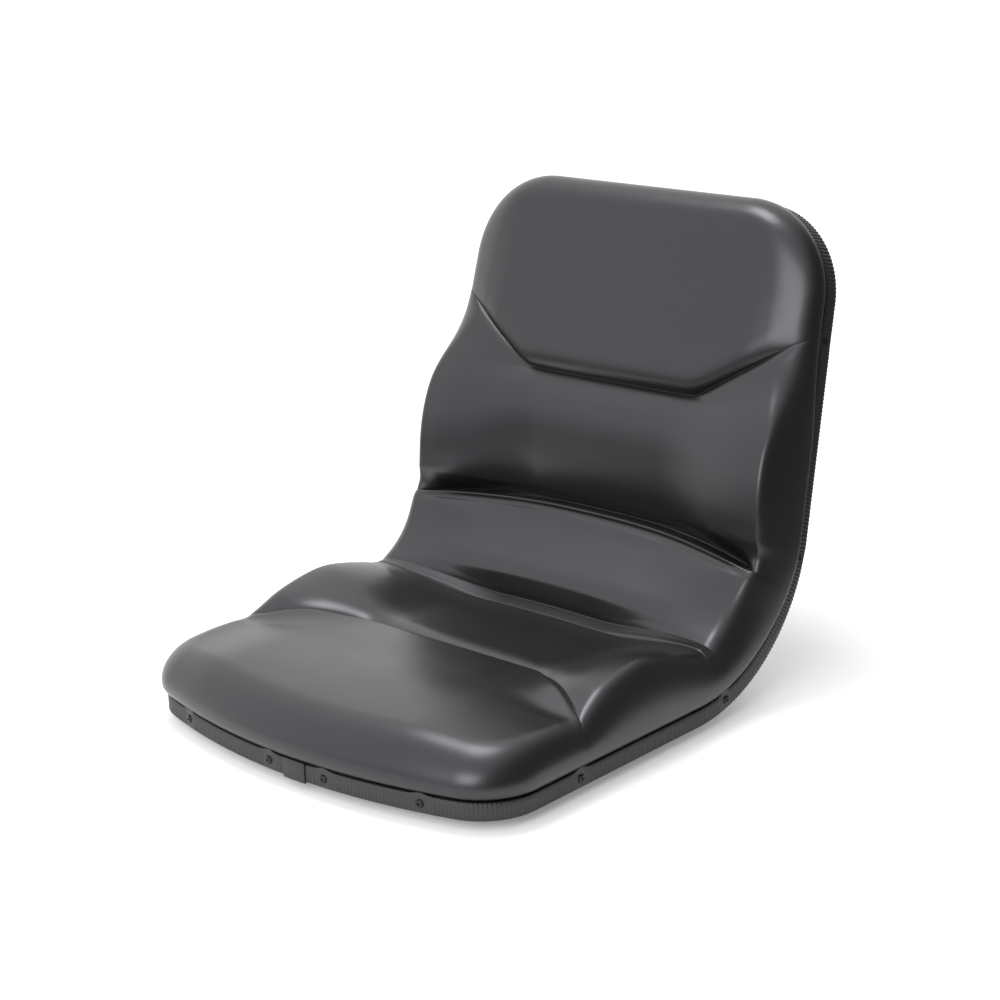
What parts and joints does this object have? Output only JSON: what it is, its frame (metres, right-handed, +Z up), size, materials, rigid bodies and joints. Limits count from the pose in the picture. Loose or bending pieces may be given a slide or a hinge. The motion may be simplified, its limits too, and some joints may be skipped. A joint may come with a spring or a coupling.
{
  "type": "bucket seat",
  "caption": "High-backed bucket seat for a garden machine: a moulded vinyl cushion with side bolsters in a pressed steel pan, its rim covered by a ribbed strip held with rivets.",
  "frame": {"origin": "middle of the four bolt holes, on the underside of the mounting pad", "axes": "+Z up, +Y towards the backrest, so the sitter faces -Y; +X is the sitter's left"},
  "size_m": [0.4966, 0.6119, 0.495],
  "materials": {
    "pan_paint": "satin black paint on pressed steel",
    "nut_steel": "zinc-plated weld nuts",
    "strip_plastic": "matt black plastic strip with fine cross ribs",
    "clip_plastic": "smooth black plastic sleeve",
    "rivet_paint": "black-coated rivets",
    "vinyl": "black satin vinyl skin with a fine grain, over moulded foam"
  },
  "bodies": {
    "root": {"seat_pan": "pan_paint", "weld_nuts": "nut_steel", "edge_strip": "strip_plastic", "joint_clip": "clip_plastic", "rim_rivets": "rivet_paint", "cushion": "vinyl"}
  },
  "joints": []
}
